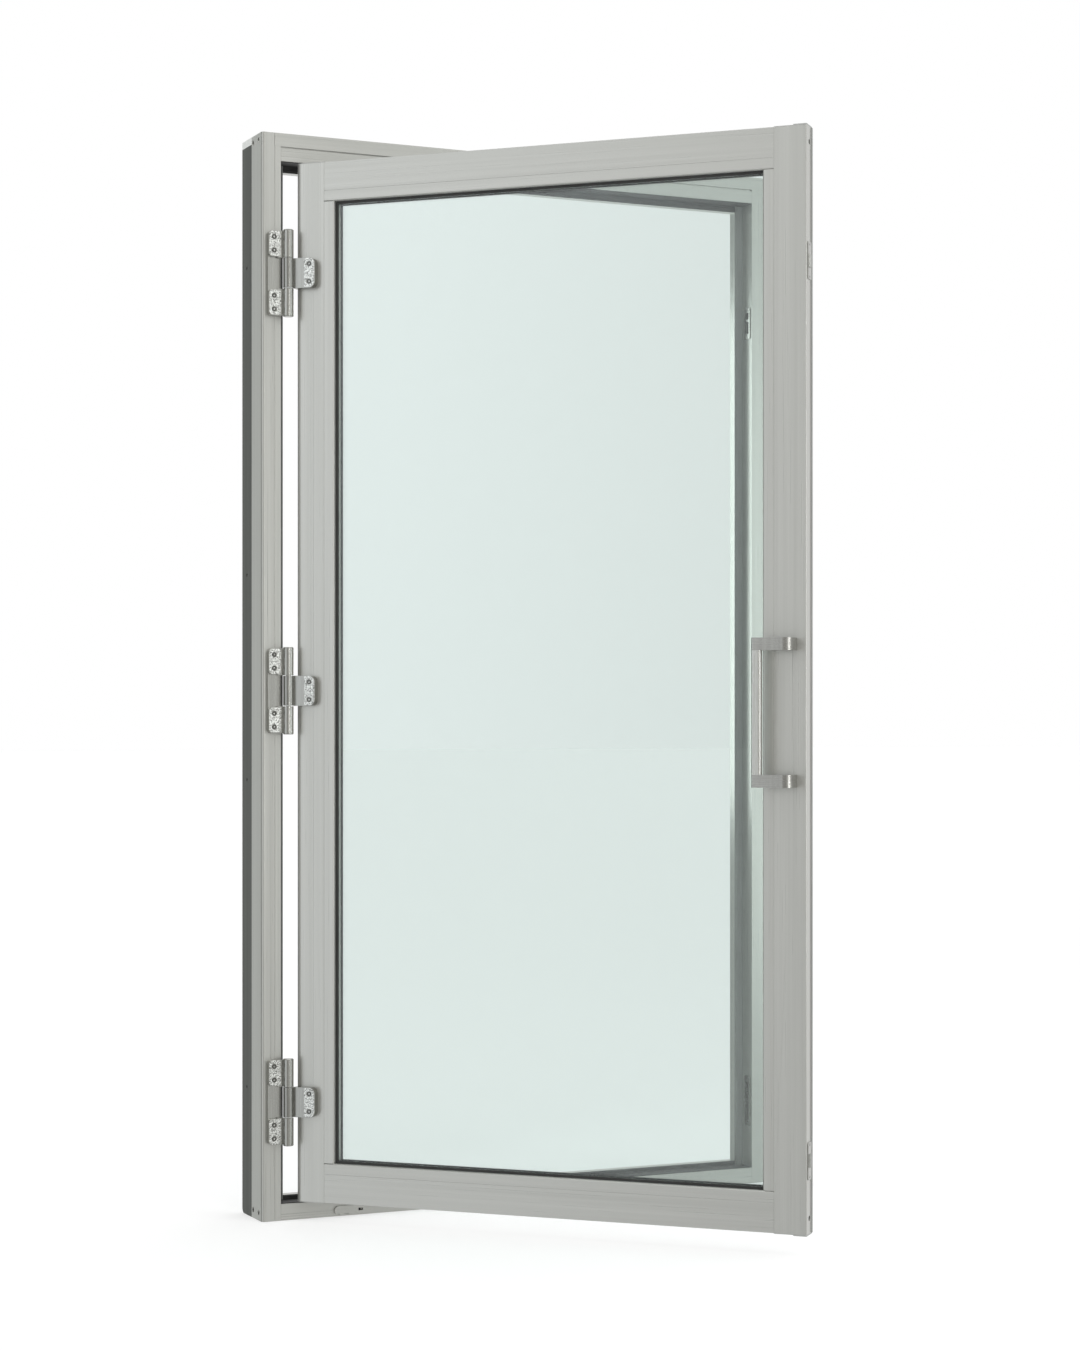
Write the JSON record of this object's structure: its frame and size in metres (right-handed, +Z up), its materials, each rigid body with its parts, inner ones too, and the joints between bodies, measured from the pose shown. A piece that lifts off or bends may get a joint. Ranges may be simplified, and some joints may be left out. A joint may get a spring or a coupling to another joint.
{
  "type": "glass door",
  "caption": "Aluminium-framed double-glazed hinged door with its frame, offset pull handle and sprung catches, leaf standing part open.",
  "frame": {"origin": "under the sill, at the middle of the frame's width and depth", "axes": "+Z up; +X from the hinge jamb to the lock jamb; -Y towards the side the hinges and the pull handle are on"},
  "size_m": [1.134, 0.8641, 2.1],
  "materials": {
    "aluminium": "satin anodised, brushed along each member",
    "dark_aluminium": "dark grey anodised",
    "stainless": "brushed stainless steel",
    "black_rubber": "matt black EPDM",
    "grey_rubber": "matt grey",
    "white_plastic": "matt off-white",
    "glass": "clear, faint green-blue tint"
  },
  "bodies": {
    "frame": {"jamb_hinge_side": "aluminium", "jamb_lock_side": "aluminium", "head": "aluminium", "sill": "aluminium", "wall_channel_hinge_side": "dark_aluminium", "wall_channel_lock_side": "dark_aluminium", "wall_channel_head": "white_plastic", "seal_hinge_jamb": "black_rubber", "seal_lock_jamb": "black_rubber", "seal_head": "black_rubber", "seal_sill": "black_rubber", "frame_screws": "stainless", "drain_cover": "aluminium", "keep_upper": "stainless", "keep_lower": "stainless", "keep_screws": "stainless", "hinge_plate_lower": "stainless", "hinge_plate_middle": "stainless", "hinge_plate_upper": "stainless", "hinge_pin_lower": "stainless", "hinge_pin_middle": "stainless", "hinge_pin_upper": "stainless", "hinge_plate_screws": "stainless"},
    "leaf": {"stile_hinge_side": "aluminium", "stile_lock_side": "aluminium", "rail_top": "aluminium", "rail_bottom": "aluminium", "rail_screws": "stainless", "bead_hinge_side": "aluminium", "bead_lock_side": "aluminium", "bead_top": "aluminium", "bead_bottom": "aluminium", "glass_front": "glass", "glass_rear": "glass", "spacer_bar": "aluminium", "glass_edge_seal": "black_rubber", "gasket_front": "black_rubber", "gasket_rear": "black_rubber", "setting_blocks": "black_rubber", "end_cap_hinge_top": "grey_rubber", "end_cap_hinge_bottom": "grey_rubber", "end_cap_lock_top": "grey_rubber", "end_cap_lock_bottom": "grey_rubber", "hinge_flag_lower": "stainless", "hinge_flag_middle": "stainless", "hinge_flag_upper": "stainless", "hinge_bush_lower": "white_plastic", "hinge_bush_middle": "white_plastic", "hinge_bush_upper": "white_plastic", "hinge_flag_screws": "stainless", "pull_handle": "stainless", "handle_bolts": "stainless", "handle_rear_caps": "stainless", "edge_seal": "grey_rubber", "catch_case_lower": "stainless", "catch_case_upper": "stainless"},
    "catch_lower": {"catch_plunger_lower": "stainless"},
    "catch_upper": {"catch_plunger_upper": "stainless"}
  },
  "joints": [
    {"name": "leaf_hinge", "type": "hinge", "parent": "frame", "child": "leaf", "pos_m": [-0.52, -0.05, 1.023], "axis": [0, 0, 1], "range_deg": [-50, 45]},
    {"name": "catch_lower_press", "type": "slide", "parent": "leaf", "child": "catch_lower", "axis": [-0.7071, 0.7071, 0], "range_m": [0, 0.003], "stiffness_N_per_m": 1500, "springref_m": -0.003},
    {"name": "catch_upper_press", "type": "slide", "parent": "leaf", "child": "catch_upper", "axis": [-0.7071, 0.7071, 0], "range_m": [0, 0.003], "stiffness_N_per_m": 1500, "springref_m": -0.003}
  ]
}
